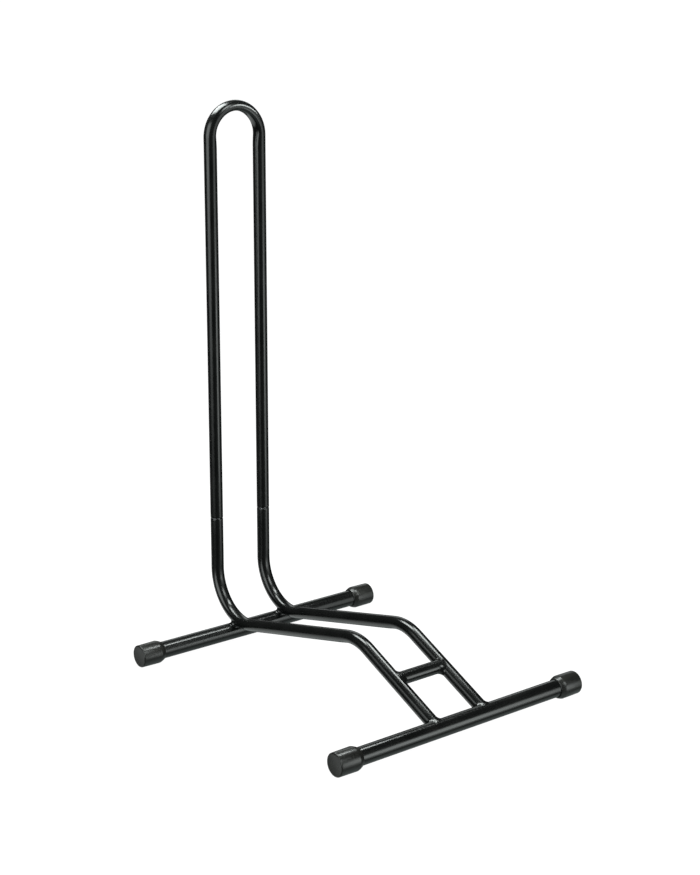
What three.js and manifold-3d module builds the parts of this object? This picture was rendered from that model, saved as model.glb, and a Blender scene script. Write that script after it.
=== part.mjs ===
// Floor stand for one bicycle. A wheel rolls in between two bent rails and is held upright by a tall hoop.
// Millimetres, +Z up, +X to the right, and the wheel rolls in from the front along +Y.
// The origin is on the floor, midway between the sides, the front and the back.

import * as THREE from "three";
import { mergeVertices } from "three/addons/utils/BufferGeometryUtils.js";
import Module from "manifold-3d";

const wasm = await Module();
wasm.setup();

// Overall size
const HEIGHT = 700; // floor to the top of the hoop
const DEPTH = 462.5; // front of the front caps to the back of the hoop
const FOOT_SPAN = 375; // between the flat outer faces of a foot's two caps
const LEG_SPACING = 75; // between the centrelines of the hoop's legs, and of the rails

// Tube stock
const TUBE_RADIUS = 8;
const TUBE_WALL = 1.5;
const FOOT_RADIUS = 10.65;
const FOOT_WALL = 1.5;

// Rails: work points of the centreline, with a bend at each
const FRONT_DROP = 2.5; // the rail's end meets the front foot this far above the foot's axis
const HUMP_RUN = 144.5; // front foot's axis to the hump's work point
const HUMP_HEIGHT = 83;
const HUMP_RADIUS = 64;
const HEEL_HEIGHT = 14.5; // work point below the hoop's legs
const HEEL_RADIUS = 61.5;
const BRACE_SHARE = 0.515; // place of the brace on the way from the front foot to the hump

// Plug joint between the hoop and the rails
const JOINT_HEIGHT = 160;
const JOINT_GROOVE = 1.2; // visible gap between the hoop's legs and the rails
const SPIGOT_RADIUS = 6.1;
const SPIGOT_WALL = 1.2;
const SPIGOT_BELOW = 35;
const SPIGOT_ABOVE = 40;
const SPIGOT_CHAMFER = 1;

// Rubber end caps
const CAP_RADIUS = 14.5;
const CAP_LENGTH = 33;
const CAP_END_WALL = 3;
const CAP_OUTER_ROUND = 2;
const CAP_MOUTH_ROUND = 1;

// Weld beads: how far each stands out beyond the tubes it joins
const WELD_FRONT = 3.2;
const WELD_BRACE = 3;
const WELD_REAR = { offset: 7.5, rise: 2, half: new THREE.Vector3(4.8, 8, 5) };

const SEAM = 0.3; // clearance between neighbouring solids
const TUBE_SIDES = 20;
const FOOT_SIDES = 24;
const CAP_SIDES = 32;
const BEAD_SIDES = 16;
const BEAD_RINGS = 10;
const BEND_STEP = THREE.MathUtils.degToRad(10);
const SAME_POINT = 1e-6;

// Derived places
const LEG_X = LEG_SPACING / 2;
const LEG_Y = DEPTH / 2 - TUBE_RADIUS;
const FOOT_AXIS_HEIGHT = CAP_RADIUS;
const FRONT_FOOT_Y = CAP_RADIUS - DEPTH / 2;
const RAIL_TOP = JOINT_HEIGHT - JOINT_GROOVE / 2;
const HOOP_BOTTOM = JOINT_HEIGHT + JOINT_GROOVE / 2;

const steel = () => new THREE.MeshStandardMaterial({ color: 0x17191a, roughness: 0.35, metalness: 0.1 });
const rubber = () => new THREE.MeshStandardMaterial({ color: 0x3a3d3c, roughness: 0.8, metalness: 0 });
const zinc = () => new THREE.MeshStandardMaterial({ color: 0xa4a7a8, roughness: 0.4, metalness: 0.9 });

const stand = new THREE.Group();

function addPart(name, geometry, material) {
  const mesh = new THREE.Mesh(geometry, material);
  mesh.name = name;
  stand.add(mesh);
  return mesh;
}

// A planar bent centreline through work points, with an arc of a given radius at each inner one.
// Its stations lie only at the ends of the straight runs and along the arcs.
class BentLine extends THREE.Curve {
  constructor(corners, radii) {
    super();
    this.stations = [];
    this.arcCentres = [];
    const last = corners.length - 1;
    const way = (a, b) => b.clone().sub(a).normalize();
    this.addStation(corners[0], way(corners[0], corners[1]));
    for (let i = 1; i < last; i += 1) {
      const into = way(corners[i - 1], corners[i]);
      const out = way(corners[i], corners[i + 1]);
      this.addArc(corners[i], into, out, radii[i - 1]);
    }
    this.addStation(corners[last], way(corners[last - 1], corners[last]));
  }

  // Two arcs that meet share their common station.
  addStation(point, tangent) {
    const previous = this.stations.at(-1);
    if (previous && previous.point.distanceTo(point) < SAME_POINT) return;
    this.stations.push({ point, tangent });
  }

  addArc(corner, into, out, radius) {
    const turn = into.angleTo(out);
    const axis = new THREE.Vector3().crossVectors(into, out).normalize();
    const start = corner.clone().addScaledVector(into, -radius * Math.tan(turn / 2));
    const centre = new THREE.Vector3().crossVectors(axis, into).multiplyScalar(radius).add(start);
    const steps = Math.ceil(turn / BEND_STEP);
    for (let i = 0; i <= steps; i += 1) {
      const angle = (turn * i) / steps;
      const point = start.clone().sub(centre).applyAxisAngle(axis, angle).add(centre);
      this.addStation(point, into.clone().applyAxisAngle(axis, angle));
    }
    this.arcCentres.push(centre);
  }

  get steps() {
    return this.stations.length - 1;
  }

  getUtoTmapping(u) {
    return u;
  }

  getPoint(t) {
    const at = t * this.steps;
    const i = Math.min(Math.floor(at), this.steps - 1);
    return this.stations[i].point.clone().lerp(this.stations[i + 1].point, at - i);
  }

  getTangent(t) {
    return this.stations[Math.round(t * this.steps)].tangent.clone();
  }
}

function ringSection(radius, wall) {
  const section = new THREE.Shape().absarc(0, 0, radius, 0, 2 * Math.PI);
  if (wall) section.holes.push(new THREE.Path().absarc(0, 0, radius - wall, 0, 2 * Math.PI));
  return section;
}

// A round tube along a bent line, or a solid bar when no wall is given.
function tubeAlong(line, radius, wall, sides = TUBE_SIDES) {
  return new THREE.ExtrudeGeometry(ringSection(radius, wall), {
    steps: line.steps,
    curveSegments: sides / 2,
    extrudePath: line,
  });
}

const straight = (from, to) => new BentLine([from, to], []);

function toSolid(geometry) {
  const bare = geometry.clone();
  bare.deleteAttribute("normal");
  bare.deleteAttribute("uv");
  const merged = mergeVertices(bare);
  return new wasm.Manifold(
    new wasm.Mesh({
      numProp: 3,
      vertProperties: merged.attributes.position.array,
      triVerts: new Uint32Array(merged.index.array),
    }),
  );
}

function toGeometry(solid) {
  const mesh = solid.getMesh();
  const geometry = new THREE.BufferGeometry();
  geometry.setAttribute("position", new THREE.BufferAttribute(mesh.vertProperties, mesh.numProp));
  geometry.setIndex(new THREE.BufferAttribute(mesh.triVerts, 1));
  geometry.computeVertexNormals();
  return geometry;
}

const bar = (from, to, radius, sides) => toSolid(tubeAlong(straight(from, to), radius, 0, sides));

// Centrelines
function hoopLine() {
  const top = HEIGHT - TUBE_RADIUS;
  const corner = (side, height) => new THREE.Vector3(side * LEG_X, LEG_Y, height);
  return new BentLine(
    [corner(-1, HOOP_BOTTOM), corner(-1, top), corner(1, top), corner(1, HOOP_BOTTOM)],
    [LEG_X, LEG_X],
  );
}

const FRONT_END = [FRONT_FOOT_Y, FOOT_AXIS_HEIGHT + FRONT_DROP];
const HUMP = [FRONT_FOOT_Y + HUMP_RUN, HUMP_HEIGHT];
const HEEL = [LEG_Y, HEEL_HEIGHT];

const railPoint = (x, [y, z]) => new THREE.Vector3(x, y, z);

function railLine(x) {
  const corners = [FRONT_END, HUMP, HEEL, [LEG_Y, RAIL_TOP]].map((corner) => railPoint(x, corner));
  return new BentLine(corners, [HUMP_RADIUS, HEEL_RADIUS]);
}

// The rear foot lies under the rails' heel bend and just touches it.
const heelCentre = railLine(0).arcCentres[1];
const heelToFoot = HEEL_RADIUS + TUBE_RADIUS + FOOT_RADIUS + SEAM;
const footBelowHeel = heelCentre.z - FOOT_AXIS_HEIGHT;
const REAR_FOOT_Y = heelCentre.y + Math.sqrt(heelToFoot ** 2 - footBelowHeel ** 2);

// Feet
const acrossX = (y, halfLength) => straight(
  new THREE.Vector3(-halfLength, y, FOOT_AXIS_HEIGHT),
  new THREE.Vector3(halfLength, y, FOOT_AXIS_HEIGHT),
);

function footTube(y) {
  return tubeAlong(acrossX(y, FOOT_SPAN / 2 - CAP_END_WALL - SEAM), FOOT_RADIUS, FOOT_WALL, FOOT_SIDES);
}

const footCutter = (y) => toSolid(tubeAlong(acrossX(y, FOOT_SPAN / 2), FOOT_RADIUS + SEAM, 0, FOOT_SIDES));

// A quarter round of an outline between two directions, given in quarter turns.
function roundEdge(outline, centre, radius, fromQuarter, toQuarter, steps = 3) {
  for (let i = 0; i <= steps; i += 1) {
    const angle = (fromQuarter + ((toQuarter - fromQuarter) * i) / steps) * (Math.PI / 2);
    outline.push(new THREE.Vector2(
      centre.x + radius * Math.cos(angle),
      centre.y + radius * Math.sin(angle),
    ));
  }
}

// A cup with a flat outer face at height 0 and its mouth at CAP_LENGTH. Its radius is to the flat facets,
// so that one of them lies flat on the floor.
function capGeometry() {
  const outer = CAP_RADIUS / Math.cos(Math.PI / CAP_SIDES);
  const bore = FOOT_RADIUS + SEAM;
  const outline = [new THREE.Vector2(0, 0)];
  roundEdge(outline, { x: outer - CAP_OUTER_ROUND, y: CAP_OUTER_ROUND }, CAP_OUTER_ROUND, -1, 0);
  roundEdge(outline, { x: outer - CAP_MOUTH_ROUND, y: CAP_LENGTH - CAP_MOUTH_ROUND }, CAP_MOUTH_ROUND, 0, 1);
  outline.push(new THREE.Vector2(bore, CAP_LENGTH));
  outline.push(new THREE.Vector2(bore, CAP_END_WALL));
  outline.push(new THREE.Vector2(0, CAP_END_WALL));
  return new THREE.LatheGeometry(outline, CAP_SIDES, Math.PI / CAP_SIDES);
}

function addFoot(end, y) {
  addPart(`${end}_foot_tube`, footTube(y), steel());
  for (const [side, sign] of [["left", -1], ["right", 1]]) {
    const cap = addPart(`cap_${end}_${side}`, capGeometry(), rubber());
    cap.rotation.z = (sign * Math.PI) / 2;
    cap.position.set((sign * FOOT_SPAN) / 2, y, FOOT_AXIS_HEIGHT);
  }
}

// Plug sleeves: pressed into the rails, with the hoop's legs slipped over their upper halves.
function spigotGeometry() {
  const bore = SPIGOT_RADIUS - SPIGOT_WALL;
  const rim = SPIGOT_RADIUS - SPIGOT_CHAMFER;
  const outline = [
    [bore, -SPIGOT_BELOW],
    [rim, -SPIGOT_BELOW],
    [SPIGOT_RADIUS, SPIGOT_CHAMFER - SPIGOT_BELOW],
    [SPIGOT_RADIUS, SPIGOT_ABOVE - SPIGOT_CHAMFER],
    [rim, SPIGOT_ABOVE],
    [bore, SPIGOT_ABOVE],
    [bore, -SPIGOT_BELOW],
  ];
  return new THREE.LatheGeometry(outline.map(([r, z]) => new THREE.Vector2(r, z)), TUBE_SIDES);
}

// Rails, brace and the bars that cut them
const brace = railPoint(0, FRONT_END).lerp(railPoint(0, HUMP), BRACE_SHARE);
const slope = railPoint(0, HUMP).sub(railPoint(0, FRONT_END)).normalize();

function rail(x) {
  const tube = toSolid(tubeAlong(railLine(x), TUBE_RADIUS, TUBE_WALL));
  return toGeometry(tube.subtract(footCutter(FRONT_FOOT_Y)));
}

const rampBar = (x, radius, from, to) => bar(
  railPoint(x, FRONT_END).addScaledVector(slope, from),
  railPoint(x, FRONT_END).addScaledVector(slope, to),
  radius,
);

const rampLength = railPoint(0, FRONT_END).distanceTo(railPoint(0, HUMP));
const rampCutter = (x) => rampBar(x, TUBE_RADIUS + SEAM, -FOOT_RADIUS, rampLength);

function braceGeometry() {
  const end = (side) => brace.clone().setX(side * LEG_X);
  const tube = toSolid(tubeAlong(straight(end(-1), end(1)), TUBE_RADIUS, TUBE_WALL));
  return toGeometry(tube.subtract(rampCutter(-LEG_X)).subtract(rampCutter(LEG_X)));
}

// Weld around the end of a rail on the front foot.
function frontWeld(x) {
  const reach = TUBE_RADIUS + WELD_FRONT;
  const aroundRail = rampBar(x, reach, 0, FOOT_RADIUS + 2 * WELD_FRONT);
  const aroundFoot = bar(
    new THREE.Vector3(x - reach, FRONT_FOOT_Y, FOOT_AXIS_HEIGHT),
    new THREE.Vector3(x + reach, FRONT_FOOT_Y, FOOT_AXIS_HEIGHT),
    FOOT_RADIUS + WELD_FRONT,
    FOOT_SIDES,
  );
  const collar = aroundRail.intersect(aroundFoot);
  return toGeometry(collar.subtract(rampCutter(x)).subtract(footCutter(FRONT_FOOT_Y)));
}

// Weld around one end of the brace.
function braceWeld(side) {
  const reach = TUBE_RADIUS + WELD_BRACE;
  const alongRail = BRACE_SHARE * rampLength;
  const aroundRail = rampBar(side * LEG_X, reach, alongRail - reach, alongRail + reach);
  const braceAt = (x) => brace.clone().setX(side * x);
  const aroundBrace = bar(braceAt(LEG_X - reach - WELD_BRACE), braceAt(LEG_X), reach);
  const braceCutter = bar(braceAt(0), braceAt(LEG_SPACING), TUBE_RADIUS + SEAM);
  const collar = aroundRail.intersect(aroundBrace);
  return toGeometry(collar.subtract(rampCutter(side * LEG_X)).subtract(braceCutter));
}

// Weld in the groove on one side of a rail, where its heel bend crosses the rear foot.
function rearWeld(x, away) {
  const across = new THREE.Vector3(1, 0, 0);
  const foot = new THREE.Vector3(x, REAR_FOOT_Y, FOOT_AXIS_HEIGHT);
  const up = heelCentre.clone().setX(x).sub(foot).normalize();
  const place = new THREE.Matrix4().makeBasis(across, up.clone().cross(across), up);
  place.setPosition(
    foot.addScaledVector(up, FOOT_RADIUS + WELD_REAR.rise).addScaledVector(across, away * WELD_REAR.offset),
  );
  const bead = new THREE.SphereGeometry(1, BEAD_SIDES, BEAD_RINGS);
  bead.scale(...WELD_REAR.half.toArray()).applyMatrix4(place);
  const heel = toSolid(tubeAlong(railLine(x), TUBE_RADIUS + SEAM, 0));
  return toGeometry(toSolid(bead).subtract(heel).subtract(footCutter(REAR_FOOT_Y)));
}

// Assembly
addPart("wheel_hoop", tubeAlong(hoopLine(), TUBE_RADIUS, TUBE_WALL), steel());
for (const [side, sign] of [["left", -1], ["right", 1]]) {
  const x = sign * LEG_X;
  addPart(`${side}_rail`, rail(x), steel());
  const spigot = addPart(`${side}_spigot`, spigotGeometry(), zinc());
  spigot.rotation.x = Math.PI / 2;
  spigot.position.set(x, LEG_Y, JOINT_HEIGHT);
  addPart(`weld_front_${side}`, frontWeld(x), steel());
  addPart(`weld_brace_${side}`, braceWeld(sign), steel());
  addPart(`weld_rear_${side}_outer`, rearWeld(x, sign), steel());
  addPart(`weld_rear_${side}_inner`, rearWeld(x, -sign), steel());
}
addPart("cross_brace", braceGeometry(), steel());
addFoot("front", FRONT_FOOT_Y);
addFoot("rear", REAR_FOOT_Y);

export default stand;
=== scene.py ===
"""A bicycle floor stand of bent black tube, with welded feet and rubber end caps, in a white studio.

Metres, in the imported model's own frame: +Z up, +X to the right, and a wheel rolls in along +Y.
"""
import math
from collections import namedtuple

import bmesh
import bpy
from mathutils import Matrix, Vector, noise


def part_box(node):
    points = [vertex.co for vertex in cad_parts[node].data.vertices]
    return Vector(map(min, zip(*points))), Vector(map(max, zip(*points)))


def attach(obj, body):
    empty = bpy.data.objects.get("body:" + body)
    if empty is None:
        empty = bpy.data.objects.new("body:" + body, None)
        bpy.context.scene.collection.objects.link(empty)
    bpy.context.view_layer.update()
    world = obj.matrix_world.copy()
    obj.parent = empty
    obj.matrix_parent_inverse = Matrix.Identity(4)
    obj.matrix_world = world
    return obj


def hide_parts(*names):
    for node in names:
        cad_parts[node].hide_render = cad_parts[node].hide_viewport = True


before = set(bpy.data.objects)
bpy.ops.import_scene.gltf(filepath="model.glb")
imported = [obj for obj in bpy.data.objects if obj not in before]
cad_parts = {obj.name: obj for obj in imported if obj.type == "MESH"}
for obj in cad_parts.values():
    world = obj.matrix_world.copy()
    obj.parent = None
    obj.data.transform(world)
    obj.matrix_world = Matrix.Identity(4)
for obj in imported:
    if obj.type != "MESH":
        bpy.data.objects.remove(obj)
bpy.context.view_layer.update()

MM = 0.001
X_AXIS = Vector((1, 0, 0))
Y_AXIS = Vector((0, 1, 0))
Z_AXIS = Vector((0, 0, 1))
SIDES = {"left": -1, "right": 1}

# Sizes read from the frame
hoop_low, hoop_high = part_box("wheel_hoop")
rail_low, rail_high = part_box("right_rail")
front_low, front_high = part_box("front_foot_tube")
rear_low, rear_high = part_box("rear_foot_tube")
cap_low, cap_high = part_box("cap_front_right")
sleeve_low, sleeve_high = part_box("right_spigot")

BARE_TUBE = (hoop_high.y - hoop_low.y) / 2
LEG_X = hoop_high.x - BARE_TUBE
LEG_Y = hoop_high.y - BARE_TUBE
HOOP_TOP = hoop_high.z - BARE_TUBE
HOOP_BOTTOM = hoop_low.z
RAIL_TOP = rail_high.z
BARE_FOOT = (front_high.y - front_low.y) / 2
FOOT_HALF = front_high.x
FOOT_Z = (front_high.z + front_low.z) / 2
FRONT_Y = (front_high.y + front_low.y) / 2
REAR_Y = (rear_high.y + rear_low.y) / 2
CAP_RADIUS = (cap_high.y - cap_low.y) / 2
CAP_LENGTH = cap_high.x - cap_low.x
CAP_FACE = cap_high.x
SLEEVE_RADIUS = (sleeve_high.x - sleeve_low.x) / 2

# Sizes that no box shows
COAT = 0.2 * MM  # the powder coat's thickness
TUBE_WALL = 1.5 * MM + COAT
TUBE_RADIUS = BARE_TUBE + COAT
FOOT_RADIUS = BARE_FOOT + COAT
SLEEVE_WALL = 1.2 * MM
CAP_END_WALL = 3 * MM
BRACE_SHARE = 0.515  # how far along the ramp, from the front foot to the hump, the brace sits

# A rail seen from the side: its front end, and the corners that its two bends round off
FRONT_END = Vector((0, FRONT_Y, FOOT_Z + 2.5 * MM))
HUMP = Vector((0, FRONT_Y + 144.5 * MM, 83 * MM))
HUMP_RADIUS = 64 * MM
HEEL = Vector((0, LEG_Y, 14.5 * MM))
HEEL_RADIUS = 61.5 * MM
SLOPE = (HUMP - FRONT_END).normalized()  # the way up the ramp
RUN = (HEEL - HUMP).normalized()  # the way from the hump back to the heel

# Fineness of the meshes
TUBE_SIDES = 72
CAP_SIDES = 120
BEAD_SECTIONS = 260
BEAD_POINTS = 12
BEND_STEP = math.radians(3)

# How a tube changes where it is bent, as shares of its radius, in a bend as tight as the hoop's crown
BEND_DENT = 0.36  # the inner wall is pushed out
BEND_SWELL = 0.05  # the sides swell
BEND_BLEND = 34 * MM  # the length over which this comes and goes
BEND_SPILL = 14 * MM  # the part of that length that lies in the straight
SPILL_STEPS = 6

LIP = 0.5 * MM  # rounding of a cut tube end
SLEEVE_CHAMFER = 1.0 * MM
SLEEVE_EDGE = 0.15 * MM  # softening of the sleeve's other edges

# Rubber caps
CAP_FACE_ROUND = 1.3 * MM
CAP_DRAFT = 0.3 * MM  # the cap is this much slimmer at its face than at its shoulder
CAP_SHOULDER_LENGTH = 6.8 * MM  # the side tapers over this length to the mouth
CAP_SHOULDER_DROP = 2.7 * MM
CAP_SHOULDER_CURVE = 1.35  # 1 would be a straight taper
CAP_BORE_ROUND = 0.4 * MM
CAP_SQUASH = 0.12 * MM  # how far the rubber gives where it stands
CAP_DISH = 0.35 * MM  # the face sinks a little towards its centre

# Weld beads
RIPPLE_SPACING = 2.1 * MM
RIPPLE_HEIGHT = 0.10 * MM
RIPPLE_BOW = 0.7  # how far the middle of a crescent lags behind its ends, in ripples
BEAD_ROOT = 0.6 * MM  # how far a bead's hidden side reaches into the tubes
BEAD_SKIN = 0.04 * MM  # how far a bead's toes and a cut tube's end lie under a surface
BEAD_FILL = 0.3  # how far a bead's face is filled, from the corner to the line between its toes
BEAD_CROWN = 0.4 * MM
LUMP_RATE = 1.3  # how quickly the unevenness changes round a bead
COLLAR_LUMPS = 0.12  # unevenness as a share of the bead's leg
COLLAR_SLIM = 0.94  # the seam is traced on a slimmer tube, so it stays smooth where the tubes are level

FRONT_LEG = 3.4 * MM
FRONT_LEAN = 0.3  # how much fuller the bead is on its right
FRONT_SEED = 3
BRACE_LEG = 4.2 * MM
BRACE_LEAN = {-1: 0.15, 1: 0.40}  # how much fuller the left and the right bead are on their lower side
BRACE_SEED = 7

# Rear beads, from the point where rail and foot touch: first beside the rail, then before and behind it
REAR_RAIL_REACH = (8.0 * MM, 9.5 * MM)
REAR_RAIL_RISE = (6.5 * MM, 0.5 * MM)
REAR_FOOT_REACH = (11.5 * MM, 8.6 * MM)
REAR_NECK_REACH = (7.6 * MM, 5.6 * MM)
REAR_NECK_RISE = (1.2 * MM, -1.0 * MM)
REAR_MEAN_REACH = 9 * MM
REAR_LUMPS = 0.07
REAR_OVERLAP = math.radians(2)  # how far the two halves of a rear bead run into each other
REAR_SEED = 11

Station = namedtuple("Station", "point heading bend")
Host = namedtuple("Host", "point axis radius")


def smoothstep(t):
    t = min(max(t, 0), 1)
    return t * t * (3 - 2 * t)


def between(pair, share):
    """The first of a pair at share 0, and the second at share 1."""
    return pair[0] * (1 - share) + pair[1] * share


# Meshes


def skin(name, rings, loop=True):
    """A closed mesh over rings of equal count. Without loop, the first and last ring are filled in."""
    count = len(rings[0])
    faces = []
    pairs = len(rings) if loop else len(rings) - 1
    for i in range(pairs):
        here = i * count
        there = (i + 1) % len(rings) * count
        for j in range(count):
            k = (j + 1) % count
            faces.append((here + j, here + k, there + k, there + j))
    if not loop:
        faces.append(tuple(range(count)))
        faces.append(tuple(range((len(rings) - 1) * count, len(rings) * count)))
    mesh = bpy.data.meshes.new(name)
    mesh.from_pydata([point for ring in rings for point in ring], [], faces)
    work = bmesh.new()
    work.from_mesh(mesh)
    bmesh.ops.recalc_face_normals(work, faces=work.faces)
    work.to_mesh(mesh)
    work.free()
    mesh.shade_smooth()
    piece = bpy.data.objects.new(name, mesh)
    bpy.context.scene.collection.objects.link(piece)
    return piece


def place(piece, node, body, material):
    """Puts a piece in the model: its finish, the CAD node it stands for and the body it rides on."""
    piece.data.materials.append(material)
    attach(piece, body)
    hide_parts(node)


def turn_angles(count):
    return [2 * math.pi * i / count for i in range(count)]


def circle(centre, u, v, radius, sides):
    return [centre + radius * (math.cos(a) * u + math.sin(a) * v) for a in turn_angles(sides)]


def quarter(steps=4):
    """Sines and cosines over a quarter turn."""
    angles = [math.pi / 2 * i / steps for i in range(steps + 1)]
    return [(math.sin(a), math.cos(a)) for a in angles]


# Bent tubes


def straight_steps(length):
    """Distances along a straight run: closer together where it may still show a bend's dent."""
    spill = min(BEND_SPILL, length / 2)
    near = [spill * i / SPILL_STEPS for i in range(1, SPILL_STEPS + 1)]
    return near + [length - d for d in reversed(near[:-1])] + [length]


def trace(start, heading, axis, moves):
    """Stations along straight runs (length,) and bends (angle, radius) about one axis.

    A station's bend says how far the tube is dented there, and its sign on which side.
    """
    path = [(start, heading, 0)]
    bends = []
    for move in moves:
        point, heading, done = path[-1]
        if len(move) == 1:
            path += [(point + heading * d, heading, done + d) for d in straight_steps(move[0])]
            continue
        angle, radius = move
        sign = math.copysign(1, angle)
        centre = point + axis.cross(heading) * radius * sign
        steps = math.ceil(abs(angle) / BEND_STEP)
        for i in range(1, steps + 1):
            turned = abs(angle) * i / steps
            spin = Matrix.Rotation(sign * turned, 3, axis)
            path.append((centre + spin @ (point - centre), spin @ heading, done + turned * radius))
        bends.append((done, done + abs(angle) * radius, sign * (LEG_X / radius) ** 2))

    def bend_at(distance):
        return sum(
            depth * smoothstep((min(distance - first, last - distance) + BEND_SPILL) / BEND_BLEND)
            for first, last, depth in bends
        )

    return [Station(point, way, bend_at(distance)) for point, way, distance in path]


def tube_ring(station, axis, radius, offset=0):
    """A tube's outline at a station, dented on the inside of a bend."""
    inward = axis.cross(station.heading)
    centre = station.point + station.heading * offset
    wide = radius * (1 + BEND_SWELL * abs(station.bend))
    ring = []
    for a in turn_angles(TUBE_SIDES):
        inside = max(0, math.sin(a) * math.copysign(1, station.bend))
        high = radius * (1 - BEND_DENT * abs(station.bend) * inside)
        ring.append(centre + axis * wide * math.cos(a) + inward * high * math.sin(a))
    return ring


def lip_rings(station, axis, radius, wall, outward):
    """The rounded end of a cut tube, from its outer wall to its inner one."""
    outer = [(s - 1, c - 1) for s, c in quarter()]
    inner = [(c - 1, 1 - s) for s, c in quarter()]
    rings = []
    for size, corner in ((radius, outer), (radius - wall, inner)):
        for back, grow in corner:
            rings.append(tube_ring(station, axis, size + LIP * grow, outward * LIP * back))
    return rings


def surface_exit(point, direction, host):
    """Where a line that starts inside a host tube comes out of it."""
    start = point - host.point
    start = start - host.axis * start.dot(host.axis)
    way = direction - host.axis * direction.dot(host.axis)
    half = start.dot(way)
    square = way.length_squared
    under = max(half * half - square * (start.length_squared - host.radius ** 2), 0)
    return point + direction * (math.sqrt(under) - half) / square


def cope_rings(station, axis, radius, wall, outward, host):
    """The end of a tube that is cut to fit a host tube, from its outer wall to its inner one."""
    sunk = Host(host.point, host.axis, host.radius - BEAD_SKIN)
    return [
        [surface_exit(p, -outward * station.heading, sunk) for p in tube_ring(station, axis, r)]
        for r in (radius, radius - wall)
    ]


def hollow_tube(name, stations, axis, radius, wall, start, end):
    """A hollow tube. start and end are the rings of its ends, each from the outer wall to the inner one."""
    middle = stations[1:-1]
    outer = [tube_ring(station, axis, radius) for station in middle]
    inner = [tube_ring(station, axis, radius - wall) for station in reversed(middle)]
    return skin(name, outer + end + inner + start[::-1])


def hoop_stations():
    leg = HOOP_TOP - LEG_X - HOOP_BOTTOM
    start = Vector((-LEG_X, LEG_Y, HOOP_BOTTOM))
    return trace(start, Z_AXIS, Y_AXIS, [(leg,), (math.pi, LEG_X), (leg,)])


def rail_stations(x):
    """The way of a rail from the front foot up the ramp, over the hump and round the heel."""
    hump_turn = -SLOPE.angle(RUN)
    heel_turn = RUN.angle(Z_AXIS)
    hump_reach = HUMP_RADIUS * math.tan(-hump_turn / 2)
    heel_reach = HEEL_RADIUS * math.tan(heel_turn / 2)
    return trace(FRONT_END + X_AXIS * x, SLOPE, X_AXIS, [
        ((HUMP - FRONT_END).length - hump_reach,),
        (hump_turn, HUMP_RADIUS),
        ((HEEL - HUMP).length - hump_reach - heel_reach,),
        (heel_turn, HEEL_RADIUS),
        (RAIL_TOP - HEEL.z - heel_reach,),
    ])


def front_foot_host():
    return Host(Vector((0, FRONT_Y, FOOT_Z)), X_AXIS, FOOT_RADIUS)


def ramp_host(side):
    return Host(FRONT_END + X_AXIS * side * LEG_X, SLOPE, TUBE_RADIUS)


def make_hoop():
    stations = hoop_stations()
    ends = [
        lip_rings(stations[0], Y_AXIS, TUBE_RADIUS, TUBE_WALL, -1),
        lip_rings(stations[-1], Y_AXIS, TUBE_RADIUS, TUBE_WALL, 1),
    ]
    return hollow_tube("hoop", stations, Y_AXIS, TUBE_RADIUS, TUBE_WALL, *ends)


def make_rail(name, side):
    stations = rail_stations(side * LEG_X)
    foot = cope_rings(stations[0], X_AXIS, TUBE_RADIUS, TUBE_WALL, -1, front_foot_host())
    top = lip_rings(stations[-1], X_AXIS, TUBE_RADIUS, TUBE_WALL, 1)
    return hollow_tube(name, stations, X_AXIS, TUBE_RADIUS, TUBE_WALL, foot, top)


def brace_centre():
    return FRONT_END.lerp(HUMP, BRACE_SHARE)


def make_brace():
    start = brace_centre() - X_AXIS * LEG_X
    stations = trace(start, X_AXIS, SLOPE, [(2 * LEG_X,)])
    ends = [
        cope_rings(stations[0], SLOPE, TUBE_RADIUS, TUBE_WALL, -1, ramp_host(-1)),
        cope_rings(stations[-1], SLOPE, TUBE_RADIUS, TUBE_WALL, 1, ramp_host(1)),
    ]
    return hollow_tube("brace", stations, SLOPE, TUBE_RADIUS, TUBE_WALL, *ends)


def make_foot_tube(name, y):
    start = Vector((-FOOT_HALF, y, FOOT_Z))
    stations = trace(start, X_AXIS, Y_AXIS, [(2 * FOOT_HALF,)])
    ends = [
        lip_rings(stations[0], Y_AXIS, FOOT_RADIUS, TUBE_WALL, -1),
        lip_rings(stations[-1], Y_AXIS, FOOT_RADIUS, TUBE_WALL, 1),
    ]
    return hollow_tube(name, stations, Y_AXIS, FOOT_RADIUS, TUBE_WALL, *ends)


# Turned and moulded pieces


def lathe(name, outline, origin, axis, sides, loop):
    """A round piece from an outline of (distance along the axis, radius)."""
    u = axis.orthogonal().normalized()
    v = axis.cross(u)
    rings = [circle(origin + axis * along, u, v, radius, sides) for along, radius in outline]
    return skin(name, rings, loop)


def cap_outline():
    """From the middle of the outer face, over the side and the mouth, and into the bore."""
    face = CAP_RADIUS - CAP_DRAFT
    bore = FOOT_RADIUS + BEAD_SKIN
    flat = face - CAP_FACE_ROUND
    outline = [(CAP_DISH * (1 - t * t), flat * t) for t in (0.04, 0.25, 0.5, 0.75, 0.9)]
    outline += [(CAP_FACE_ROUND * (1 - c), flat + CAP_FACE_ROUND * s) for s, c in quarter(7)]
    shoulder = CAP_LENGTH - CAP_SHOULDER_LENGTH
    outline += [(shoulder / 2, CAP_RADIUS - CAP_DRAFT / 2)]
    outline += [
        (shoulder + CAP_SHOULDER_LENGTH * t, CAP_RADIUS - CAP_SHOULDER_DROP * t ** CAP_SHOULDER_CURVE)
        for t in (0, 0.06, 0.14, 0.3, 0.5, 0.7, 0.88, 1)
    ]
    outline += [
        (CAP_LENGTH - CAP_BORE_ROUND * (1 - c), bore + CAP_BORE_ROUND * (1 - s)) for s, c in quarter(3)
    ]
    outline += [(CAP_END_WALL, bore), (CAP_END_WALL, bore / 2)]
    return outline


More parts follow.
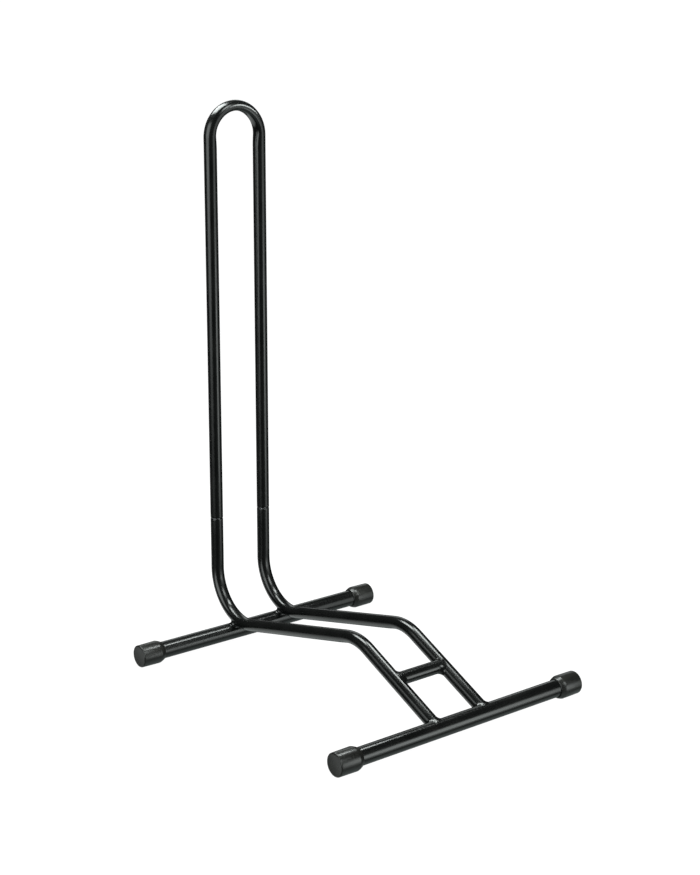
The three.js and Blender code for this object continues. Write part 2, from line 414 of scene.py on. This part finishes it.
def make_cap(name, side, y):
    origin = Vector((side * CAP_FACE, y, FOOT_Z))
    cap = lathe(name, cap_outline(), origin, -side * X_AXIS, CAP_SIDES, loop=False)
    for vertex in cap.data.vertices:
        radial = vertex.co - Vector((vertex.co.x, y, FOOT_Z))
        if radial.z < 0 and radial.length > FOOT_RADIUS + CAP_BORE_ROUND:
            vertex.co += radial.normalized() * CAP_SQUASH * smoothstep(-radial.z / radial.length)
        vertex.co.z = max(vertex.co.z, 0)
    return cap


def make_sleeve(name, side):
    """A plug sleeve with chamfered ends."""
    length = sleeve_high.z - sleeve_low.z
    bore = SLEEVE_RADIUS - SLEEVE_WALL
    outline = [
        (0, bore + SLEEVE_EDGE),
        (0, SLEEVE_RADIUS - SLEEVE_CHAMFER),
        (SLEEVE_CHAMFER - SLEEVE_EDGE, SLEEVE_RADIUS - SLEEVE_EDGE),
        (SLEEVE_CHAMFER + SLEEVE_EDGE, SLEEVE_RADIUS),
        (length - SLEEVE_CHAMFER - SLEEVE_EDGE, SLEEVE_RADIUS),
        (length - SLEEVE_CHAMFER + SLEEVE_EDGE, SLEEVE_RADIUS - SLEEVE_EDGE),
        (length, SLEEVE_RADIUS - SLEEVE_CHAMFER),
        (length, bore + SLEEVE_EDGE),
        (length - SLEEVE_EDGE, bore),
        (SLEEVE_EDGE, bore),
    ]
    origin = Vector((side * LEG_X, LEG_Y, sleeve_low.z))
    return lathe(name, outline, origin, Z_AXIS, TUBE_SIDES, loop=True)


# Weld beads


def to_surface(point, host):
    """The nearest point of a host tube's surface, and the way out of it there."""
    along = host.axis * (point - host.point).dot(host.axis)
    out = (point - host.point - along).normalized()
    return host.point + along + out * host.radius, out


def ripple(distance, across):
    """Height of a bead's overlapping crescents, from 0 at its toes to its crest."""
    phase = distance / RIPPLE_SPACING - RIPPLE_BOW * math.sin(math.pi * across)
    return RIPPLE_HEIGHT * math.sin(math.pi * across) * (abs(math.sin(math.pi * phase)) - 0.5)


def bead_section(toe_a, out_a, toe_b, out_b, control, distance):
    """One slice of a bead: a rippled curve between its two toes, closed under the tubes' surfaces."""
    points = []
    for i in range(BEAD_POINTS + 1):
        t = i / BEAD_POINTS
        point = toe_a * (1 - t) ** 2 + control * 2 * t * (1 - t) + toe_b * t ** 2
        out = (out_a * (1 - t) + out_b * t).normalized()
        points.append(point + out * ripple(distance, t))
    root = control - (out_a + out_b) * BEAD_ROOT
    return points + [toe_b - out_b * BEAD_ROOT, root, toe_a - out_a * BEAD_ROOT]


def lumpy(angle, seed):
    """A slow unevenness round a bead, from about -1 to 1."""
    return noise.noise(Vector((LUMP_RATE * math.cos(angle), LUMP_RATE * math.sin(angle), seed)))


def collar(name, joined, host, u, v, leg, lean, seed):
    """A bead round the end of a joined tube on a host tube.

    joined's axis points away from the host. u and v span its section, and lean is the direction in which
    the bead is fuller, by the length of the vector.
    """
    working = COLLAR_SLIM * joined.radius

    def spoke(angle):
        return math.cos(angle) * u + math.sin(angle) * v

    def corner(angle):
        return surface_exit(joined.point + working * spoke(angle), joined.axis, host)

    sections = []
    distance = 0
    step = 2 * math.pi / BEAD_SECTIONS
    for angle in turn_angles(BEAD_SECTIONS):
        middle = corner(angle)
        tangent = corner(angle + step) - corner(angle - step)
        distance += tangent.length / 2
        tangent.normalize()
        radial = spoke(angle)
        _, host_out = to_surface(middle, host)
        reach = leg * (1 + radial.dot(lean) + COLLAR_LUMPS * lumpy(angle, seed))
        toe_a, out_a = to_surface(middle + radial.cross(tangent) * reach, joined)
        toe_b, out_b = to_surface(middle + tangent.cross(host_out) * reach, host)
        toe_a -= out_a * BEAD_SKIN
        toe_b -= out_b * BEAD_SKIN
        control = middle.lerp((toe_a + toe_b) / 2, BEAD_FILL)
        control += (radial + host_out).normalized() * BEAD_CROWN
        sections.append(bead_section(toe_a, out_a, toe_b, out_b, control, distance))
    return skin(name, sections)


def make_front_weld(name, side):
    """The bead round the front end of a rail, fuller on its right."""
    v = X_AXIS.cross(SLOPE) * -1
    lean = X_AXIS * FRONT_LEAN
    return collar(name, ramp_host(side), front_foot_host(), X_AXIS, v, FRONT_LEG, lean, FRONT_SEED + side)


def make_brace_weld(name, side):
    """The bead round one end of the brace, fuller on its lower side."""
    away = X_AXIS * -side
    tube = Host(brace_centre() + X_AXIS * side * LEG_X, away, TUBE_RADIUS)
    lean = SLOPE * -BRACE_LEAN[side]
    return collar(name, tube, ramp_host(side), SLOPE, away.cross(SLOPE), BRACE_LEG, lean, BRACE_SEED + side)


def heel_centre(x):
    reach = HEEL_RADIUS * math.tan(RUN.angle(Z_AXIS) / 2)
    return Vector((x, LEG_Y - HEEL_RADIUS, HEEL.z + reach))


def to_heel(point, centre):
    """The nearest point of a rail's surface in its heel bend, and the way out of it there."""
    spoke = point - centre
    spoke.x = 0
    core = centre + spoke.normalized() * HEEL_RADIUS
    out = (point - core).normalized()
    return core + out * TUBE_RADIUS, out


def make_rear_weld(name, side, away):
    """Half of the bead round the place where a rail's heel lies on the rear foot."""
    x = side * LEG_X
    foot = Host(Vector((x, REAR_Y, FOOT_Z)), X_AXIS, FOOT_RADIUS)
    centre = heel_centre(x)
    up = (centre - foot.point).normalized()
    along = up.cross(X_AXIS)
    contact = foot.point + up * FOOT_RADIUS
    half = math.pi / 2 + REAR_OVERLAP
    seed = REAR_SEED + side + away / 2
    count = BEAD_SECTIONS // 2
    sections = []
    distance = 0
    for i in range(count + 1):
        angle = -half + 2 * half * i / count
        way = X_AXIS * away * math.cos(angle) + along * math.sin(angle)
        ahead = math.sin(angle) ** 2
        fuller = 1 + REAR_LUMPS * lumpy(angle, seed)
        on_rail = way * between(REAR_RAIL_REACH, ahead) * fuller + up * between(REAR_RAIL_RISE, ahead)
        on_foot = way * between(REAR_FOOT_REACH, ahead) * fuller
        neck = way * between(REAR_NECK_REACH, ahead) + up * between(REAR_NECK_RISE, ahead)
        toe_a, out_a = to_heel(contact + on_rail, centre)
        toe_b, out_b = to_surface(contact + on_foot, foot)
        toe_a -= out_a * BEAD_SKIN
        toe_b -= out_b * BEAD_SKIN
        sections.append(bead_section(toe_a, out_a, toe_b, out_b, contact + neck, distance))
        distance += REAR_MEAN_REACH * 2 * half / count
    return skin(name, sections, loop=False)


# Shader nodes


def new_material(name):
    material = bpy.data.materials.new(name)
    material.use_nodes = True
    tree = material.node_tree
    return material, tree, tree.nodes["Principled BSDF"]


def noise_socket(tree, scale, detail, stretch=(1, 1, 1)):
    """Noise in the piece's own coordinates; scale is in cycles to the metre."""
    where = tree.nodes.new("ShaderNodeTexCoord")
    mapping = tree.nodes.new("ShaderNodeMapping")
    mapping.inputs["Scale"].default_value = stretch
    texture = tree.nodes.new("ShaderNodeTexNoise")
    texture.inputs["Scale"].default_value = scale
    texture.inputs["Detail"].default_value = detail
    tree.links.new(where.outputs["Object"], mapping.inputs["Vector"])
    tree.links.new(mapping.outputs["Vector"], texture.inputs["Vector"])
    return texture.outputs["Fac"]


def ranged(tree, value, low, high, from_low=0.3, from_high=0.7):
    """A value spread over low to high. A noise mostly runs from 0.3 to 0.7."""
    node = tree.nodes.new("ShaderNodeMapRange")
    node.inputs["From Min"].default_value = from_low
    node.inputs["From Max"].default_value = from_high
    node.inputs["To Min"].default_value = low
    node.inputs["To Max"].default_value = high
    tree.links.new(value, node.inputs["Value"])
    return node.outputs["Result"]


def mixed_colour(tree, factor, first, second):
    node = tree.nodes.new("ShaderNodeMix")
    node.data_type = "RGBA"
    node.inputs["A"].default_value = (*first, 1)
    node.inputs["B"].default_value = (*second, 1)
    tree.links.new(factor, node.inputs["Factor"])
    return node.outputs["Result"]


def bumped(tree, height, distance, before=None):
    """A bumped normal. before is the normal of a coarser bump underneath."""
    node = tree.nodes.new("ShaderNodeBump")
    node.inputs["Distance"].default_value = distance
    tree.links.new(height, node.inputs["Height"])
    if before is not None:
        tree.links.new(before, node.inputs["Normal"])
    return node.outputs["Normal"]


def math_node(tree, operation, *values):
    """One step of arithmetic, on numbers and sockets alike."""
    node = tree.nodes.new("ShaderNodeMath")
    node.operation = operation
    for socket, value in zip(node.inputs, values):
        if isinstance(value, (int, float)):
            socket.default_value = value
        else:
            tree.links.new(value, socket)
    return node.outputs["Value"]


# Finishes

COAT_GLOSS_SPREAD = (-0.04, 0.05)  # from the coat's roughness in its glossiest and dullest places
COAT_TINTS = ((0.0030, 0.0034, 0.0033), (0.0056, 0.0060, 0.0057))
# painted highlight: a pale colour laid on the tube ends at the hoop's joints to stand in for glints
PAINTED_GLINT_TONE = (0.20, 0.20, 0.19)
RUBBER_TINTS = ((0.011, 0.011, 0.010), (0.024, 0.024, 0.021))
ZINC_TINTS = ((0.50, 0.51, 0.53), (0.66, 0.67, 0.68))

PEEL_HEIGHT = 0.012 * MM  # orange peel of the powder coat
PIT_DEPTH = 0.002 * MM
GRAIN_HEIGHT = 0.005 * MM  # grain of the rubber
DRAWN_LINE_DEPTH = 0.01 * MM  # fine lines of the zinc-plated tube

# Painted highlight patches stand in for glints on the tube ends at the hoop's joints: they are full up to the
# first of these heights from the middle of a joint, and end at the second
GLINT_EDGE = 0.3 * MM
GLINT_REACH = 0.9 * MM


def painted_glint_rims(tree):
    """1 in patches of painted highlight on the tube ends that meet at the hoop's joints, and 0 everywhere
    else.
    """
    where = tree.nodes.new("ShaderNodeTexCoord")
    parts = tree.nodes.new("ShaderNodeSeparateXYZ")
    tree.links.new(where.outputs["Object"], parts.inputs["Vector"])
    height = math_node(tree, "SUBTRACT", parts.outputs["Z"], (RAIL_TOP + HOOP_BOTTOM) / 2)
    on_rim = ranged(tree, math_node(tree, "ABSOLUTE", height), 1, 0, GLINT_EDGE, GLINT_REACH)
    speckle = noise_socket(tree, scale=260, detail=3)
    patches = ranged(tree, speckle, 0, 1, from_low=0.50, from_high=0.58)
    return math_node(tree, "MULTIPLY", on_rim, patches)


def powder_coat(name, roughness):
    """Black powder coat: a soft orange peel, fine pits, uneven gloss, and a painted highlight in pale patches
    at the joints.
    """
    material, tree, shader = new_material(name)
    cloudy = noise_socket(tree, scale=22, detail=3)
    orange_peel = noise_socket(tree, scale=330, detail=0)
    pits = noise_socket(tree, scale=2600, detail=2)
    tint = mixed_colour(tree, ranged(tree, cloudy, 0, 1), *COAT_TINTS)
    # painted highlight: pale patches on the tube ends at the hoop's joints
    colour = mixed_colour(tree, painted_glint_rims(tree), (0, 0, 0), PAINTED_GLINT_TONE)
    tree.links.new(tint, colour.node.inputs["A"])
    tree.links.new(colour, shader.inputs["Base Color"])
    glossy, dull = (roughness + change for change in COAT_GLOSS_SPREAD)
    tree.links.new(ranged(tree, cloudy, glossy, dull), shader.inputs["Roughness"])
    waves = bumped(tree, orange_peel, PEEL_HEIGHT)
    tree.links.new(bumped(tree, pits, PIT_DEPTH, waves), shader.inputs["Normal"])
    return material


def cap_rubber():
    """Moulded black rubber: a fine grain, mottled gloss and pale rub marks."""
    material, tree, shader = new_material("cap_rubber")
    cloudy = noise_socket(tree, scale=60, detail=4)
    grain = noise_socket(tree, scale=2200, detail=3)
    rubs = noise_socket(tree, scale=160, detail=6, stretch=(0.25, 1, 1))
    rubbed = ranged(tree, rubs, 0, 1, from_low=0.5, from_high=0.8)
    colour = mixed_colour(tree, rubbed, *RUBBER_TINTS)
    tree.links.new(colour, shader.inputs["Base Color"])
    tree.links.new(ranged(tree, cloudy, 0.25, 0.35), shader.inputs["Roughness"])
    tree.links.new(bumped(tree, grain, GRAIN_HEIGHT), shader.inputs["Normal"])
    return material


def zinc():
    """Bright zinc plate over a drawn tube, with fine lines along it."""
    material, tree, shader = new_material("zinc_sleeve")
    lines = noise_socket(tree, scale=1800, detail=3, stretch=(1, 1, 0.03))
    cloudy = noise_socket(tree, scale=90, detail=4)
    colour = mixed_colour(tree, ranged(tree, cloudy, 0, 1), *ZINC_TINTS)
    tree.links.new(colour, shader.inputs["Base Color"])
    shader.inputs["Metallic"].default_value = 1.0
    tree.links.new(ranged(tree, lines, 0.28, 0.42), shader.inputs["Roughness"])
    tree.links.new(bumped(tree, lines, DRAWN_LINE_DEPTH), shader.inputs["Normal"])
    return material


# Studio

PALE = (0.94, 1.0, 0.98)
COOL = (0.86, 1.0, 0.97)

# A panel's place is its middle; aim is the way it faces, and radiance is relative to the white floor.
Panel = namedtuple("Panel", "place aim width height radiance")
PANELS = {
    "overhead": Panel(Vector((0.29, 0.0, 0.80)), -Z_AXIS, 0.34, 0.16, 13.5),
    "overhead_core": Panel(Vector((-0.12, 0.57, 1.36)), -Z_AXIS, 0.46, 0.86, 13.0),
    "low_front_panel": Panel(Vector((0.60, -1.11, 0.03)), Vector((-0.6, 0.8, 0.0)), 0.5, 0.5, 2.0),
}
PANEL_WATTS = 4.0  # an area light's power is this times its area and radiance


def make_panel(name, panel):
    light = bpy.data.lights.new(name, "AREA")
    light.shape = "RECTANGLE"
    light.size = panel.width
    light.size_y = panel.height
    light.color = PALE
    light.energy = PANEL_WATTS * panel.width * panel.height * panel.radiance
    lamp = bpy.data.objects.new(name, light)
    bpy.context.scene.collection.objects.link(lamp)
    turn = panel.aim.to_track_quat("-Z", "Y").to_matrix().to_4x4()
    lamp.matrix_world = Matrix.Translation(panel.place) @ turn
    lamp.visible_camera = False


def facing(azimuth, elevation):
    """The direction to a light; azimuth 0 is the front, -Y, and 90 the right, +X."""
    a = math.radians(azimuth)
    e = math.radians(elevation)
    return Vector((math.sin(a) * math.cos(e), -math.cos(a) * math.cos(e), math.sin(e)))


# Angles are in degrees, and edge is the soft share of a box's half width.
SoftBox = namedtuple("SoftBox", "azimuth elevation half_width half_height edge power colour")
SOFT_BOXES = {
    "left_wall": SoftBox(-84, 12, 30, 27, 0.4, 3.4, PALE),
    "front_right": SoftBox(32, -2, 23, 27, 0.6, 1.2, PALE),
    "low_rear_left": SoftBox(-166, -38, 27, 20, 0.8, 0.95, PALE),
    "high_front": SoftBox(17, 43, 11, 13, 0.6, 8.0, PALE),
    "rear_glow": SoftBox(143, 20, 15, 12, 0.6, 1.1, PALE),
    "floor_glow": SoftBox(50, -72, 66, 44, 0.7, 0.38, COOL),
}
BOX_SQUARENESS = 4  # 2 would make the soft boxes oval
AMBIENT = 0.035


def dot_with(tree, direction, vector, scale=1.0):
    node = tree.nodes.new("ShaderNodeVectorMath")
    node.operation = "DOT_PRODUCT"
    node.inputs[1].default_value = vector * scale
    tree.links.new(direction, node.inputs[0])
    return node.outputs["Value"]


def soft_box(tree, direction, box):
    """The light of one soft box, as a patch of sky with rounded corners and a soft edge."""
    ahead = facing(box.azimuth, box.elevation)
    beside = ahead.cross(Z_AXIS).normalized()
    above = beside.cross(ahead)
    u = dot_with(tree, direction, beside, 1 / math.sin(math.radians(box.half_width)))
    v = dot_with(tree, direction, above, 1 / math.sin(math.radians(box.half_height)))
    spans = [math_node(tree, "POWER", math_node(tree, "ABSOLUTE", x), BOX_SQUARENESS) for x in (u, v)]
    reach = math_node(tree, "ADD", *spans)
    glow = tree.nodes.new("ShaderNodeMapRange")
    glow.interpolation_type = "SMOOTHSTEP"
    glow.inputs["From Min"].default_value = (1 - box.edge) ** BOX_SQUARENESS
    glow.inputs["From Max"].default_value = 1.0
    glow.inputs["To Min"].default_value = 1.0
    glow.inputs["To Max"].default_value = 0.0
    tree.links.new(reach, glow.inputs["Value"])
    in_front = math_node(tree, "GREATER_THAN", dot_with(tree, direction, ahead), 0.0)
    light = tree.nodes.new("ShaderNodeVectorMath")
    light.operation = "SCALE"
    light.inputs[0].default_value = Vector(box.colour) * box.power
    tree.links.new(math_node(tree, "MULTIPLY", glow.outputs["Result"], in_front), light.inputs["Scale"])
    return light.outputs["Vector"]


def make_world():
    """The light from all round: a little everywhere, and the soft boxes."""
    world = bpy.data.worlds.new("studio")
    world.use_nodes = True
    tree = world.node_tree
    direction = tree.nodes.new("ShaderNodeTexCoord").outputs["Generated"]
    total = None
    for box in SOFT_BOXES.values():
        light = soft_box(tree, direction, box)
        adder = tree.nodes.new("ShaderNodeVectorMath")
        tree.links.new(light, adder.inputs[0])
        if total is None:
            adder.inputs[1].default_value = (AMBIENT, AMBIENT, AMBIENT)
        else:
            tree.links.new(total, adder.inputs[1])
        total = adder.outputs["Vector"]
    tree.links.new(total, tree.nodes["Background"].inputs["Color"])
    bpy.context.scene.world = world


COVE_RADIUS = 9.0
COVE_CURVE = 4.0
COVE_HEIGHT = 12.0
COVE_MIDDLE = 0.02  # radius of the small flat disc that closes the floor and the roof
COVE_SIDES = 96
COVE_STEPS = 24
FLOOR_GLOW = 1.0
FLOOR_ALBEDO = 0.08


def make_cove():
    """A white floor that curves up into a wall all round. Only the camera sees it."""
    outline = [(0, COVE_MIDDLE), (0, COVE_RADIUS / 3)]
    outline += [(COVE_CURVE * (1 - c), COVE_RADIUS + COVE_CURVE * s) for s, c in quarter(COVE_STEPS)]
    outline += [(COVE_HEIGHT, COVE_RADIUS + COVE_CURVE), (COVE_HEIGHT, COVE_MIDDLE)]
    cove = lathe("cove", outline, Vector((0, 0, 0)), Z_AXIS, COVE_SIDES, loop=False)
    cove.data.flip_normals()
    material, _, shader = new_material("white_sweep")
    shader.inputs["Base Color"].default_value = (FLOOR_ALBEDO, FLOOR_ALBEDO, FLOOR_ALBEDO, 1)
    shader.inputs["Roughness"].default_value = 1.0
    shader.inputs["Specular IOR Level"].default_value = 0.0
    shader.inputs["Emission Color"].default_value = (1, 1, 1, 1)
    shader.inputs["Emission Strength"].default_value = FLOOR_GLOW
    cove.data.materials.append(material)
    cove.visible_diffuse = False
    cove.visible_glossy = False
    cove.visible_transmission = False
    cove.visible_shadow = False


CAMERA_PLACE = Vector((-1.3067, -1.6345, 0.8820))
CAMERA_AZIMUTH = math.radians(-38.80)
CAMERA_ELEVATION = math.radians(15.27)
CAMERA_ROLL = math.radians(0.153)
CAMERA_LENS = 73.6
CAMERA_SENSOR = 36


def make_camera():
    data = bpy.data.cameras.new("camera")
    data.lens = CAMERA_LENS
    data.sensor_width = CAMERA_SENSOR
    camera = bpy.data.objects.new("camera", data)
    bpy.context.scene.collection.objects.link(camera)
    pan = Matrix.Rotation(CAMERA_AZIMUTH, 4, "Z")
    tilt = Matrix.Rotation(math.pi / 2 - CAMERA_ELEVATION, 4, "X")
    roll = Matrix.Rotation(CAMERA_ROLL, 4, "Z")
    camera.matrix_world = Matrix.Translation(CAMERA_PLACE) @ pan @ tilt @ roll
    bpy.context.scene.camera = camera


# Assembly

coat = powder_coat("black_powder_coat", roughness=0.21)
weld_coat = powder_coat("coated_weld", roughness=0.20)
rubber = cap_rubber()
plating = zinc()

place(make_hoop(), "wheel_hoop", "hoop", coat)
place(make_brace(), "cross_brace", "base", coat)
for end, y in (("front", FRONT_Y), ("rear", REAR_Y)):
    tube_name = f"{end}_foot"
    place(make_foot_tube(tube_name, y), f"{end}_foot_tube", "base", coat)
    for side_name, side in SIDES.items():
        cap = make_cap(f"{end}_{side_name}_rubber_cap", side, y)
        place(cap, f"cap_{end}_{side_name}", "base", rubber)
for side_name, side in SIDES.items():
    rail = make_rail(f"{side_name}_bent_rail", side)
    place(rail, f"{side_name}_rail", "base", coat)
    place(make_sleeve(f"{side_name}_sleeve", side), f"{side_name}_spigot", "base", plating)
    front_weld = make_front_weld(f"front_{side_name}_bead", side)
    place(front_weld, f"weld_front_{side_name}", "base", weld_coat)
    brace_weld = make_brace_weld(f"brace_{side_name}_bead", side)
    place(brace_weld, f"weld_brace_{side_name}", "base", weld_coat)
    for part, away in (("outer", side), ("inner", -side)):
        rear_weld = make_rear_weld(f"rear_{side_name}_{part}_bead", side, away)
        place(rear_weld, f"weld_rear_{side_name}_{part}", "base", weld_coat)

make_world()
for name, panel in PANELS.items():
    make_panel(name, panel)
make_cove()
make_camera()
bpy.context.scene.view_settings.view_transform = "Standard"
